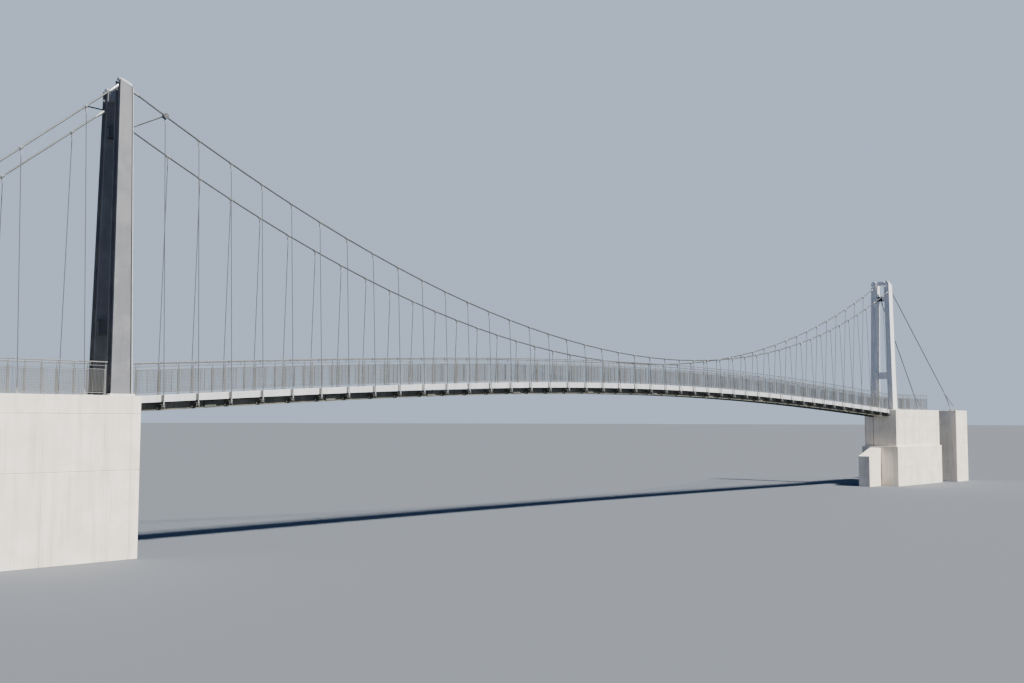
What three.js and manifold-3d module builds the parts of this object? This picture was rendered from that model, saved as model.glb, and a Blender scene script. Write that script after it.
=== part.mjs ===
import * as THREE from 'three';
import { mergeVertices } from 'three/addons/utils/BufferGeometryUtils.js';
import Module from 'manifold-3d';

// Suspension footbridge, a 1:10 scale model in millimetres with +Z up.
// X runs along the bridge and is measured from the left tower until the last lines.
// Heights are measured from the walkway level at the towers. The near side is -Y.

const wasm = await Module();
wasm.setup();

const metre = 100; // one metre of the real bridge at 1:10
const gap = 0.3; // play between pieces that touch, in model millimetres
const seat = 0.1; // play under foot plates

const deckLevel = 5.7 * metre; // walkway level above the foot of the piers
const bay = 1.402 * metre;
const bayCount = 44;
const hangerShift = 0.2 * metre; // the hangers stand this much nearer to the right tower
const stagger = 0.75 * metre; // the far hangers stand this much further right than the near ones
const span = bay * bayCount;
const camber = 1.16 * metre;

const leftEnd = -15.2 * metre;
const rightEnd = span + 11.0 * metre;

const steelGrey = new THREE.MeshStandardMaterial({ color: 0x8f949b, roughness: 0.55, metalness: 0.3 });
const galvanised = new THREE.MeshStandardMaterial({ color: 0xb4b8bb, roughness: 0.5, metalness: 0.55 });
const fasciaGrey = new THREE.MeshStandardMaterial({ color: 0xcdced2, roughness: 0.45, metalness: 0.4 });
const girderGrey = new THREE.MeshStandardMaterial({ color: 0x5a5f5c, roughness: 0.6, metalness: 0.35 });
const cableGrey = new THREE.MeshStandardMaterial({ color: 0x8c8f90, roughness: 0.45, metalness: 0.6 });
const concrete = new THREE.MeshStandardMaterial({ color: 0xd9d2ca, roughness: 0.9, metalness: 0.0 });
const deckGrey = new THREE.MeshStandardMaterial({ color: 0x8a8883, roughness: 0.85, metalness: 0.0 });

const bridge = new THREE.Group();

function up(height) {
  return deckLevel + height * metre;
}

function add(name, geometry, material) {
  const mesh = new THREE.Mesh(geometry, material);
  mesh.name = name;
  bridge.add(mesh);
}

// Booleans

function toSolid(geometry) {
  const bare = geometry.clone();
  bare.deleteAttribute('normal');
  bare.deleteAttribute('uv');
  const merged = mergeVertices(bare, 1e-4);
  return new wasm.Manifold(new wasm.Mesh({
    numProp: 3,
    vertProperties: new Float32Array(merged.attributes.position.array),
    triVerts: new Uint32Array(merged.index.array),
  }));
}

function toGeometry(solid) {
  const mesh = solid.getMesh();
  const geometry = new THREE.BufferGeometry();
  geometry.setAttribute('position', new THREE.BufferAttribute(new Float32Array(mesh.vertProperties), 3));
  geometry.setIndex(new THREE.BufferAttribute(new Uint32Array(mesh.triVerts), 1));
  return geometry;
}

function fuse(geometries) {
  return toGeometry(geometries.map(toSolid).reduce((whole, piece) => whole.add(piece)));
}

// Basic shapes

function block(x0, x1, y0, y1, z0, z1) {
  const box = new THREE.BoxGeometry(x1 - x0, y1 - y0, z1 - z0);
  return box.translate((x0 + x1) / 2, (y0 + y1) / 2, (z0 + z1) / 2);
}

function rod(from, to, radius, sides) {
  const along = new THREE.Vector3().subVectors(to, from);
  const cylinder = new THREE.CylinderGeometry(radius, radius, along.length(), sides);
  const turn = new THREE.Quaternion().setFromUnitVectors(new THREE.Vector3(0, 1, 0), along.clone().normalize());
  const middle = new THREE.Vector3().addVectors(from, to).multiplyScalar(0.5);
  return cylinder.applyQuaternion(turn).translate(middle.x, middle.y, middle.z);
}

function outline(points) {
  return new THREE.Shape(points.map(([a, b]) => new THREE.Vector2(a, b)));
}

// A side elevation in X and Z, thickened from y0 to y1.
function elevation(shape, y0, y1) {
  const solid = new THREE.ExtrudeGeometry(shape, { depth: y1 - y0, bevelEnabled: false });
  return solid.rotateX(Math.PI / 2).translate(0, y1, 0);
}

// A cross-section in Y and Z, thickened from x0 to x1.
function section(points, x0, x1) {
  const solid = new THREE.ExtrudeGeometry(outline(points), { depth: x1 - x0, bevelEnabled: false });
  return solid.rotateX(Math.PI / 2).rotateZ(Math.PI / 2).translate(x0, 0, 0);
}

// Concrete substructure

const pierHalfWidth = 1.26 * metre;
const leftAbutmentStart = -5.3 * metre;
const leftAbutmentEnd = 0.56 * metre;
const rightPierStart = span - 0.71 * metre;
const rightPierEnd = span + 7.0 * metre;
const footingTop = up(-2.75);
const footingLedge = 0.16 * metre;
const buttressLength = 1.9 * metre;
const buttressNear = -0.08 * metre;
const buttressFar = 0.78 * metre;
const buttressHigh = up(-2.86);
const buttressLow = up(-3.46);
const leftAnchorLength = 3.4 * metre;
const rightAnchorLength = 2.2 * metre;
const anchorHalfWidth = 1.9 * metre;

add('left_abutment',
  block(leftAbutmentStart, leftAbutmentEnd, -pierHalfWidth, pierHalfWidth, 0, deckLevel), concrete);
add('right_pier',
  block(rightPierStart, rightPierEnd, -pierHalfWidth, pierHalfWidth, footingTop, deckLevel), concrete);
add('right_footing',
  block(rightPierStart - footingLedge, rightPierEnd, -pierHalfWidth - footingLedge,
    pierHalfWidth + footingLedge, 0, footingTop), concrete);

function buttress() {
  const back = rightPierStart - footingLedge - gap;
  const front = back - buttressLength;
  const side = outline([[front, 0], [back, 0], [back, buttressHigh], [front, buttressLow]]);
  return elevation(side, buttressNear, buttressFar);
}

add('right_pier_buttress', buttress(), concrete);
add('left_anchor_block',
  block(leftEnd, leftEnd + leftAnchorLength, -anchorHalfWidth, anchorHalfWidth, 0, deckLevel), concrete);
add('right_anchor_block',
  block(rightEnd - rightAnchorLength, rightEnd, -anchorHalfWidth, anchorHalfWidth, 0, deckLevel), concrete);

// Towers

const legDepth = 0.4 * metre;
const flange = 0.05 * metre;
const recess = 0.12 * metre;
const footSpread = 0.7 * metre; // half the distance between the leg centres at the walkway
const lean = 0.02; // how far each leg leans inward per unit of height
const topSlope = 0.43; // how much the leg tops fall towards +X per unit of length
const basePlate = 0.07 * metre;
const basePlateLip = 0.07 * metre;
const beamThickness = 0.24 * metre;

const towers = {
  left: {
    x: 0,
    height: 11.3,
    farDrop: 0.22, // how much lower the far leg ends
    footWidth: 0.79 * metre,
    headWidth: 0.49 * metre,
    beams: {
      lower_beam: { top: 2.72, depth: 0.52 },
      upper_beam: { top: 9.8, depth: 0.42 },
      head_beam: { top: 11.1, depth: 0.38 },
    },
  },
  right: {
    x: span,
    height: 9.6,
    farDrop: 0,
    footWidth: 0.77 * metre,
    headWidth: 0.63 * metre,
    beams: {
      lower_beam: { top: 2.84, depth: 0.52 },
      upper_beam: { top: 8.62, depth: 0.36 },
      head_beam: { top: 9.76, depth: 0.28 },
    },
  },
};

const sides = { near: -1, far: 1 };

function legCentre(height) {
  return footSpread - lean * height * metre;
}

function legHalfWidth(tower, height) {
  const share = height / tower.height;
  return (tower.footWidth + (tower.headWidth - tower.footWidth) * share) / 2;
}

// Distance from the leg's middle to the web between its flanges.
function legWeb(tower, height) {
  return legHalfWidth(tower, height) * (1 - (2 * recess) / tower.footWidth);
}

function legSection(halfWidth) {
  const d = legDepth / 2;
  const w = halfWidth;
  return outline([
    [-w, -d], [w, -d], [w, -d + flange], [w - recess, -d + flange],
    [w - recess, d - flange], [w, d - flange], [w, d], [-w, d],
    [-w, d - flange], [-w + recess, d - flange], [-w + recess, -d + flange], [-w, -d + flange],
  ]);
}

function legTop(tower, side) {
  return side > 0 ? tower.height - tower.farDrop : tower.height;
}

function leg(tower, side) {
  const foot = deckLevel + basePlate;
  const top = legTop(tower, side);
  const taper = (2 * legHalfWidth(tower, top)) / tower.footWidth;
  const solid = new THREE.ExtrudeGeometry(legSection(tower.footWidth / 2), { depth: 1, bevelEnabled: false });
  const place = solid.attributes.position;
  for (let i = 0; i < place.count; i += 1) {
    const atTop = place.getZ(i) > 0.5;
    const x = place.getX(i) * (atTop ? taper : 1);
    const z = atTop ? up(top) - topSlope * x : foot;
    const centre = side * legCentre((z - deckLevel) / metre);
    place.setXYZ(i, tower.x + x, centre + place.getY(i), z);
  }
  return solid;
}

function crossBeam(tower, beam) {
  const { top } = beam;
  const bottom = top - beam.depth;
  const reachTop = legCentre(top) - legDepth / 2 - gap;
  const reachBottom = legCentre(bottom) - legDepth / 2 - gap;
  const face = tower.x - legHalfWidth(tower, top) + flange;
  return section([
    [-reachBottom, up(bottom)], [reachBottom, up(bottom)], [reachTop, up(top)], [-reachTop, up(top)],
  ], face, face + beamThickness);
}

for (const [towerName, tower] of Object.entries(towers)) {
  for (const [sideName, side] of Object.entries(sides)) {
    const y = side * footSpread;
    const halfWidth = tower.footWidth / 2 + basePlateLip;
    const halfDepth = legDepth / 2 + basePlateLip;
    add(`${towerName}_tower_leg_${sideName}`, leg(tower, side), steelGrey);
    add(`${towerName}_base_plate_${sideName}`,
      block(tower.x - halfWidth, tower.x + halfWidth, y - halfDepth, y + halfDepth,
        deckLevel, deckLevel + basePlate), fasciaGrey);
  }
  for (const [beamName, beam] of Object.entries(tower.beams)) {
    add(`${towerName}_tower_${beamName}`, crossBeam(tower, beam), steelGrey);
  }
}

// Cover plates on the sloping leg tops

const coverHeight = 0.12 * metre;
const coverDepth = 0.2 * metre;

function coverPlate(tower, side) {
  const top = legTop(tower, side);
  const w = legHalfWidth(tower, top);
  const rise = gap * 2;
  const highEnd = up(top) + topSlope * w + rise;
  const lowEnd = up(top) - topSlope * w + rise;
  const shape = outline([
    [tower.x - w, highEnd], [tower.x + w, lowEnd],
    [tower.x + w, lowEnd + coverHeight], [tower.x - w * 0.2, highEnd + coverHeight * 0.3],
    [tower.x - w, highEnd + coverHeight * 0.5],
  ]);
  const y = side * legCentre(top);
  return elevation(shape, y - coverDepth / 2, y + coverDepth / 2);
}

for (const [towerName, tower] of Object.entries(towers)) {
  for (const [sideName, side] of Object.entries(sides)) {
    add(`${towerName}_leg_cover_${sideName}`, coverPlate(tower, side), fasciaGrey);
  }
}

// Suspended deck

const deckStart = leftAbutmentEnd + gap;
const deckEnd = rightPierStart - gap;
const fasciaOuter = 0.8 * metre;
const fasciaInner = 0.75 * metre;
const fasciaDepth = 0.26 * metre;
const girderInner = 0.5 * metre;
const girderOuter = 0.6 * metre;
const girderMiddle = (girderInner + girderOuter) / 2;
const girderTop = -0.28 * metre;
const girderBottom = -0.57 * metre;
const beamWidth = 0.1 * metre;
const pinReach = 1.0 * metre;
const hangerFootReach = 0.95 * metre;
const pinHeight = -0.43 * metre;
const pinHalfDepth = 0.06 * metre;

// Where hanger number i stands along the bridge.
function hangerX(i) {
  return i * bay + hangerShift;
}

// Where all hangers of one side stand. The last far one is left out, as the deck ends there.
function hangersOf(side) {
  const shift = side > 0 ? stagger : 0;
  const all = [];
  for (let i = 1; i < bayCount; i += 1) {
    all.push(hangerX(i) + shift);
  }
  return all.filter((x) => x < deckEnd - beamWidth);
}

const stations = [deckStart];
for (let i = 2; i < bayCount; i += 2) {
  stations.push(hangerX(i));
}
stations.push(deckEnd);

function crown(x) {
  const length = deckEnd - deckStart;
  return camber * Math.sin((Math.PI * (x - deckStart)) / length);
}

// Height of the deck line at x, straight between the stations.
function deckLine(x) {
  const next = Math.max(1, stations.findIndex((station) => station >= x));
  const a = stations[next - 1];
  const b = stations[next];
  const share = (x - a) / (b - a);
  return deckLevel + crown(a) * (1 - share) + crown(b) * share;
}

function camberedBar(y0, y1, low, high) {
  const lower = stations.map((x) => [x, deckLine(x) + low]);
  const upper = stations.map((x) => [x, deckLine(x) + high]).reverse();
  return elevation(outline([...lower, ...upper]), y0, y1);
}

// A cross-beam that reaches out under the near hanger and ends in the far girder.
function deckCrossBeam(x) {
  const z = deckLine(x);
  return section([
    [-pinReach, z + pinHeight - pinHalfDepth], [-girderOuter, z + girderBottom + flange],
    [girderMiddle, z + girderBottom + flange], [girderMiddle, z + girderTop - flange],
    [-girderOuter, z + girderTop - flange], [-pinReach, z + pinHeight + pinHalfDepth],
  ], x - beamWidth / 2, x + beamWidth / 2);
}

// A bracket on the far girder under a far hanger.
function farOutrigger(x) {
  const z = deckLine(x);
  return section([
    [girderMiddle, z + girderBottom + flange], [girderOuter, z + girderBottom + flange],
    [pinReach, z + pinHeight - pinHalfDepth], [pinReach, z + pinHeight + pinHalfDepth],
    [girderOuter, z + girderTop - flange], [girderMiddle, z + girderTop - flange],
  ], x - beamWidth / 2, x + beamWidth / 2);
}

function deckFrame() {
  const pieces = [
    camberedBar(-girderOuter, -girderInner, girderBottom, girderTop),
    camberedBar(girderInner, girderOuter, girderBottom, girderTop),
  ];
  for (const x of hangersOf(sides.near)) {
    pieces.push(deckCrossBeam(x));
  }
  for (const x of hangersOf(sides.far)) {
    pieces.push(farOutrigger(x));
  }
  return fuse(pieces);
}

add('deck_slab', camberedBar(-fasciaInner + gap, fasciaInner - gap, girderTop + gap, 0), deckGrey);
add('deck_fascia_near', camberedBar(-fasciaOuter, -fasciaInner, -fasciaDepth, 0), fasciaGrey);
add('deck_fascia_far', camberedBar(fasciaInner, fasciaOuter, -fasciaDepth, 0), fasciaGrey);
add('deck_frame', deckFrame(), girderGrey);

// Railings

const railPlane = 0.7 * metre;
const railThickness = 0.04 * metre;
const railHeight = 1.2 * metre;
const handrailDepth = 0.045 * metre;
const bottomRailLow = 0.07 * metre;
const bottomRailHigh = 0.11 * metre;
const postWidth = 0.05 * metre;
const postPlay = 0.5; // lets a square post foot clear the sloping deck

const railingTop = railHeight - handrailDepth / 2;

// A rail that follows a ground line through the points xs.
function rail(xs, line, low, high, y) {
  const lower = xs.map((x) => [x, line(x) + low]);
  const upper = xs.map((x) => [x, line(x) + high]).reverse();
  return elevation(outline([...lower, ...upper]), y - railThickness / 2, y + railThickness / 2);
}

// A handrail and a panel frame on posts that stand on a ground line.
function railing(xs, postXs, line, side) {
  const y = side * railPlane;
  const pieces = [
    rail(xs, line, bottomRailLow, bottomRailHigh, y),
    rail(xs, line, railHeight - handrailDepth, railHeight, y),
  ];
  for (const x of postXs) {
    pieces.push(block(x - postWidth / 2, x + postWidth / 2, y - railThickness / 2, y + railThickness / 2,
      line(x) + postPlay, line(x) + railingTop));
  }
  return fuse(pieces);
}

const spanPosts = [];
for (let i = 0; i < bayCount; i += 1) {
  spanPosts.push(hangerX(i + 0.5));
}
spanPosts[0] = deckStart + postWidth;
spanPosts[bayCount - 1] = deckEnd - postWidth;

for (const [sideName, side] of Object.entries(sides)) {
  add(`span_railing_${sideName}`, railing(stations, spanPosts, deckLine, side), galvanised);
}

const approachBay = 1.12 * metre;
const approaches = {
  left: { start: leftAbutmentStart + 0.3 * metre, bays: 4 },
  right: { start: span + 0.5 * metre, bays: 5 },
};

function approachRailing(approach, side) {
  const posts = [];
  for (let i = 0; i <= approach.bays; i += 1) {
    posts.push(approach.start + i * approachBay);
  }
  const ends = [posts[0] - postWidth, posts.at(-1) + postWidth];
  return railing(ends, posts, () => deckLevel, side);
}

for (const [approachName, approach] of Object.entries(approaches)) {
  for (const [sideName, side] of Object.entries(sides)) {
    add(`${approachName}_approach_railing_${sideName}`, approachRailing(approach, side), galvanised);
  }
}

// Cables

const cableRadius = 0.035 * metre;
const cableSides = 6;
const hangerRadius = 0.012 * metre;
const hangerSides = 4;
const socketRadius = 0.07 * metre;
const socketLength = 0.4 * metre;
const clampRadius = 0.09 * metre;
const headLevel = 11.3; // where the cable planes meet the leg heads
const headReach = 0.5 * metre;
const planeSlope = 0.038;

// Heights at which the cables meet the tower legs and pass midspan.
const cables = {
  near: { left: 11.14, middle: 2.67, right: 8.95, leftStay: 11.2, rightStay: 9.25 },
  far: { left: 10.23, middle: 2.42, right: 9.25, leftStay: 10.45, rightStay: 9.25 },
};

// A cable ends this far from the web of the leg, because its end face is square to its slope.
const cableEndPlay = cableRadius * 0.6 + gap;
const socketEndPlay = socketRadius * 0.75 + gap;

function cableEnds(cable) {
  return {
    start: legWeb(towers.left, cable.left) + cableEndPlay,
    end: span - legWeb(towers.right, cable.right) - cableEndPlay,
  };
}

function cablePoint(cable, side, x) {
  const { start, end } = cableEnds(cable);
  const u = (x - start) / (end - start);
  const sag = (cable.left + cable.right) / 2 - cable.middle;
  const height = cable.left * (1 - u) + cable.right * u - 4 * sag * u * (1 - u);
  const reach = headReach + (headLevel - height) * planeSlope * metre;
  return new THREE.Vector3(x, side * reach, up(height));
}

class CablePath extends THREE.Curve {
  constructor(cable, side) {
    super();
    this.cable = cable;
    this.side = side;
  }

  getPoint(u, target = new THREE.Vector3()) {
    const { start, end } = cableEnds(this.cable);
    return target.copy(cablePoint(this.cable, this.side, start + (end - start) * u));
  }
}

function roundSection(radius, count) {
  const points = [];
  for (let i = 0; i < count; i += 1) {
    const angle = (2 * Math.PI * i) / count;
    points.push([radius * Math.cos(angle), radius * Math.sin(angle)]);
  }
  return outline(points);
}

function mainCable(cable, side) {
  const path = new CablePath(cable, side);
  const pieces = [new THREE.ExtrudeGeometry(roundSection(cableRadius, cableSides), {
    steps: bayCount, extrudePath: path, bevelEnabled: false,
  })];
  for (const x of hangersOf(side)) {
    const top = cablePoint(cable, side, x);
    const footLevel = deckLine(x) + pinHeight + pinHalfDepth + gap * 4;
    const foot = new THREE.Vector3(x, side * hangerFootReach, footLevel);
    pieces.push(rod(foot, top, hangerRadius, hangerSides));
  }
  return fuse(pieces);
}

for (const [sideName, side] of Object.entries(sides)) {
  add(`main_cable_${sideName}`, mainCable(cables[sideName], side), cableGrey);
}

// Backstays

const stayFoot = 1.35 * metre; // distance of the stay feet from the centre line
const forkHeight = 1.3;
const forkSpread = 0.45 * metre;
const hubSize = 0.16 * metre;
const footPlate = 0.24 * metre;
const footThickness = 0.06 * metre;
const hangerFoot = 1.05 * metre;
const stays = {
  left: { slope: 0.85, direction: -1, tower: towers.left, hangers: { near: [-1.43, -3.7], far: [-1.4, -3.7] } },
  right: { slope: 1.0, direction: 1, tower: towers.right, hangers: { near: [], far: [] } },
};

// A block where several rods meet.
function hub(point) {
  const half = hubSize / 2;
  return block(point.x - half, point.x + half, point.y - half, point.y + half, point.z - half, point.z + half);
}

// A rod on a small foot plate.
function standing(foot, top, radius, count) {
  const half = footPlate / 2;
  const inside = foot.clone().setZ(foot.z + footThickness * 0.7);
  return [
    rod(inside, top, radius, count),
    block(foot.x - half, foot.x + half, foot.y - half, foot.y + half, foot.z, foot.z + footThickness),
  ];
}

function stayEnds(stay, height, side) {
  const x = stay.tower.x + stay.direction * (legWeb(stay.tower, height) + socketEndPlay);
  const top = new THREE.Vector3(x, side * legCentre(height), up(height));
  const run = ((height - forkHeight) * metre) / stay.slope;
  const fork = new THREE.Vector3(x + stay.direction * run, side * stayFoot * 0.95, up(forkHeight));
  return { top, fork };
}

function backstay(stay, sideName) {
  const side = sides[sideName];
  const height = cables[sideName][stay.direction < 0 ? 'leftStay' : 'rightStay'];
  const { top, fork } = stayEnds(stay, height, side);
  const along = new THREE.Vector3().subVectors(fork, top).normalize();
  const at = (distance) => top.clone().addScaledVector(along, distance);
  const pieces = [
    rod(at(socketLength / 2), fork, cableRadius, cableSides),
    rod(top, at(socketLength), socketRadius, 8),
    hub(fork),
  ];
  const reach = (forkHeight * metre) / stay.slope;
  for (const offset of [-forkSpread, forkSpread]) {
    const x = fork.x + stay.direction * reach + offset;
    pieces.push(...standing(new THREE.Vector3(x, side * stayFoot, deckLevel + seat), fork, cableRadius, 6));
  }
  for (const x of stay.hangers[sideName]) {
    const share = (x * metre - top.x) / (fork.x - top.x);
    const point = new THREE.Vector3().lerpVectors(top, fork, share);
    const foot = new THREE.Vector3(point.x, side * hangerFoot, deckLevel + seat);
    pieces.push(hub(point), ...standing(foot, point, hangerRadius, hangerSides));
  }
  return fuse(pieces);
}

for (const [stayName, stay] of Object.entries(stays)) {
  for (const sideName of Object.keys(sides)) {
    add(`${stayName}_backstay_${sideName}`, backstay(stay, sideName), cableGrey);
  }
}

// Tie rods from the near cables to the far leg of the left tower

const tieRadius = 0.015 * metre;
const tieHeights = { back: 10.4, front: 9.75 };

// Where a tie from the point meets the edge of the inner flange of the far leg.
function tie(from, height, direction, play) {
  const flangeY = legCentre(height) - (legDepth - flange) / 2;
  const face = direction * legHalfWidth(towers.left, height);
  const to = new THREE.Vector3(face, flangeY, up(height));
  const run = new THREE.Vector3().subVectors(to, from);
  const endPlay = (tieRadius * Math.abs(run.y)) / Math.abs(run.x) + gap;
  to.x += direction * endPlay;
  run.normalize();
  return rod(from.clone().addScaledVector(run, play), to, tieRadius, cableSides);
}

const backTieX = stays.left.hangers.near[0] * metre;
const nearStay = stayEnds(stays.left, cables.near.leftStay, sides.near);
const backTieStart = new THREE.Vector3().lerpVectors(nearStay.top, nearStay.fork,
  (backTieX - nearStay.top.x) / (nearStay.fork.x - nearStay.top.x));
const frontTieStart = cablePoint(cables.near, sides.near, hangerX(1));

add('left_head_tie_back', tie(backTieStart, tieHeights.back, -1, hubSize * 0.72 + gap), cableGrey);
add('left_head_tie_front', tie(frontTieStart, tieHeights.front, 1, cableRadius * 1.5 + gap), cableGrey);

bridge.position.x = -(leftEnd + rightEnd) / 2;

export default bridge;
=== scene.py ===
import math
import random
import bpy
import bmesh
from itertools import pairwise, product
from mathutils import Matrix, Vector


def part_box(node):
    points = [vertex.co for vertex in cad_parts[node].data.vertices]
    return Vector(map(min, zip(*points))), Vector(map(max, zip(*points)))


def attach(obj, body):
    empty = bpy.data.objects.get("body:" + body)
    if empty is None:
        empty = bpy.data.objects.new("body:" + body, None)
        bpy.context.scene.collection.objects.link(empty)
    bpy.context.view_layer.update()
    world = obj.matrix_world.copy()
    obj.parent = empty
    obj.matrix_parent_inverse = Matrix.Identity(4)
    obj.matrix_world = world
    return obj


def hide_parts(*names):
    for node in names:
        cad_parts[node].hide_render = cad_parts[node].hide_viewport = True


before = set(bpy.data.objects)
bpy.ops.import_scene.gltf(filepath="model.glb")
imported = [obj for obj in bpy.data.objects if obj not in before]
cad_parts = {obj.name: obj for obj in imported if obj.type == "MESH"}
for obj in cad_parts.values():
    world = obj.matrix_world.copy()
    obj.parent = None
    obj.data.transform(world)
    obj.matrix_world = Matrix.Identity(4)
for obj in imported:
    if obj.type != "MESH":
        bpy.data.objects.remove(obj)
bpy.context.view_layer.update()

# Each piece is modelled in real metres: X from the left tower, Y from the centre line, Z from the
# walkway level at the towers. finishPiece shrinks it to 1:10 and puts it in the frame.

modelScale = 0.1
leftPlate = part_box("left_base_plate_near")
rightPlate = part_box("right_base_plate_near")
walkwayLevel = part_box("left_abutment")[1].z
towerOrigin = Vector(((leftPlate[0].x + leftPlate[1].x) / 2, 0, walkwayLevel))
toFrame = Matrix.Translation(towerOrigin) @ Matrix.Scale(modelScale, 4)
span = (rightPlate[0].x - leftPlate[0].x + rightPlate[1].x - leftPlate[1].x) / 2 / modelScale
sideSigns = {"near": -1, "far": 1}


def nodeBox(name):
    low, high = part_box(name)
    return (low - towerOrigin) / modelScale, (high - towerOrigin) / modelScale


deckLow, deckHigh = nodeBox("deck_slab")

bridge = {
    "bays": 44,
    "hangerShift": 0.2,    # the hangers stand this much nearer to the right tower
    "stagger": 0.75,       # the far hangers stand this much further right than the near ones
    "camber": 1.16,
    "legSpread": 0.7,      # leg centres from the centre line at the walkway
    "legLean": 0.02,
    "legDepth": 0.4,
    "legRecess": 0.12,
}
towers = {                 # widths of a leg along the bridge at its foot and head, and its height
    "left": {"x": 0, "foot": 0.79, "head": 0.49, "height": 11.3},
    "right": {"x": span, "foot": 0.77, "head": 0.63, "height": 9.6},
}
beamNames = ("lower_beam", "upper_beam", "head_beam")
bay = span / bridge["bays"]
hangerXs = [i * bay + bridge["hangerShift"] for i in range(1, bridge["bays"])]
sideHangers = {"near": hangerXs, "far": [x + bridge["stagger"] for x in hangerXs[:-1]]}


def crown(x):
    length = deckHigh.x - deckLow.x
    return bridge["camber"] * math.sin(math.pi * (x - deckLow.x) / length)


def level(x):
    return 0.0


def legCentre(height):
    return bridge["legSpread"] - bridge["legLean"] * height


def legHalfWidth(part, height):
    # half the leg's width along the bridge, which narrows evenly to the head
    leg = towers[part]
    return (leg["foot"] + (leg["head"] - leg["foot"]) * height / leg["height"]) / 2


def legWeb(part, height):
    # half the width of the leg between its grooves
    return legHalfWidth(part, height) * (1 - 2 * bridge["legRecess"] / towers[part]["foot"])


def around(middle, reach):
    return middle - reach, middle + reach


def sideBand(side, inner, outer):
    # two distances from the centre line as Y values, the lower one first
    return sorted((side * inner, side * outer))


# Modelling helpers


def addObject(name, data):
    made = bpy.data.objects.new(name, data)
    bpy.context.scene.collection.objects.link(made)
    return made


def rod(bm, start, end, radius, sides=8, endRadius=None):
    start, end = Vector(start), Vector(end)
    turn = (end - start).to_track_quat("Z", "Y").to_matrix().to_4x4()
    bmesh.ops.create_cone(bm, cap_ends=True, segments=sides, radius1=radius,
                          radius2=radius if endRadius is None else endRadius,
                          depth=(end - start).length,
                          matrix=Matrix.Translation((start + end) / 2) @ turn)


def disc(bm, centre, halfThickness, radius, sides):
    # a flat round or six-sided piece whose axis runs across the bridge
    half = Vector((0, halfThickness, 0))
    rod(bm, centre - half, centre + half, radius, sides)


def placedCube(bm, place, soft):
    verts = bmesh.ops.create_cube(bm, size=1, matrix=place)["verts"]
    if soft:
        edges = list(dict.fromkeys(edge for vert in verts for edge in vert.link_edges))
        bmesh.ops.bevel(bm, geom=edges, offset=soft, segments=1, profile=0.5,
                        affect="EDGES", material=-1)


def block(bm, low, high, soft=0.0):
    low, high = Vector(low), Vector(high)
    place = Matrix.Translation((low + high) / 2) @ Matrix.Diagonal((*(high - low), 1))
    placedCube(bm, place, soft)


def blockAt(bm, point, low, high, soft):
    # a block whose corners are given from a point
    block(bm, point + Vector(low), point + Vector(high), soft)


def slopedBlock(bm, xs, ys, zs, line=crown, soft=0.0):
    # a box whose top and bottom follow the deck line between its two ends
    length, rise = xs[1] - xs[0], line(xs[1]) - line(xs[0])
    placedCube(bm, Matrix((
        (length, 0, 0, (xs[0] + xs[1]) / 2),
        (0, ys[1] - ys[0], 0, (ys[0] + ys[1]) / 2),
        (rise, 0, zs[1] - zs[0], (line(xs[0]) + line(xs[1]) + zs[0] + zs[1]) / 2),
        (0, 0, 0, 1),
    )), soft)


def extruded(bm, outline, move):
    # a flat outline drawn out along a straight line
    face = bm.faces.new([bm.verts.new(point) for point in outline])
    made = bmesh.ops.extrude_face_region(bm, geom=[face])["geom"]
    bmesh.ops.translate(bm, vec=move, verts=[e for e in made if isinstance(e, bmesh.types.BMVert)])


boltSizes = {              # radius and height of the nut, and how far the stud stands out of it
    "fascia": (0.012, 0.008, 0.004),
    "girder": (0.014, 0.011, 0.01),
    "post": (0.012, 0.01, 0.008),
    "stayFoot": (0.018, 0.016, 0.02),
    "towerFoot": (0.021, 0.02, 0.03),
}


def hexBolt(bm, at, axis, kind):
    radius, height, stud = boltSizes[kind]
    at, axis = Vector(at), Vector(axis).normalized()
    rod(bm, at, at + axis * height * 0.25, radius * 1.35, 10)
    rod(bm, at, at + axis * height, radius, 6)
    rod(bm, at, at + axis * (height + stud), radius * 0.5, 6)


def template(build):
    bm = bmesh.new()
    build(bm)
    mesh = bpy.data.meshes.new("template")
    bm.to_mesh(mesh)
    bm.free()
    return mesh


def stamp(bm, mesh, place):
    placed = mesh.copy()
    placed.transform(place)
    bm.from_mesh(placed)
    bpy.data.meshes.remove(placed)


def tubeMesh(points, profile, twistPerMetre=0.0):
    # a curve through the points, with a closed profile that may turn along the way
    section = bpy.data.curves.new("tubeSection", "CURVE")
    spline = section.splines.new("POLY")
    spline.points.add(len(profile) - 1)
    for point, (a, b) in zip(spline.points, profile):
        point.co = (a, b, 0, 1)
    spline.use_cyclic_u = True
    sectionObject = addObject("tubeSection", section)
    path = bpy.data.curves.new("tubePath", "CURVE")
    path.dimensions = "3D"
    path.bevel_mode = "OBJECT"
    path.bevel_object = sectionObject
    path.use_fill_caps = True
    line = path.splines.new("POLY")
    line.points.add(len(points) - 1)
    travelled, last = 0.0, Vector(points[0])
    for point, co in zip(line.points, points):
        travelled += (Vector(co) - last).length
        last = Vector(co)
        point.co = (*co, 1)
        point.tilt = travelled * twistPerMetre
    pathObject = addObject("tubePath", path)
    bpy.context.view_layer.update()
    graph = bpy.context.evaluated_depsgraph_get()
    mesh = bpy.data.meshes.new_from_object(pathObject.evaluated_get(graph))
    for made in (pathObject, sectionObject):
        bpy.data.objects.remove(made)
    return mesh


def tubeProfile(radius, lobes, hollow=1.0):
    # high and low points in turn, so that a cable's section has one lobe for each strand
    profile = []
    for i in range(lobes * 2):
        reach = radius if i % 2 == 0 else radius * hollow
        angle = math.pi * i / lobes
        profile.append((reach * math.cos(angle), reach * math.sin(angle)))
    return profile


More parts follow.
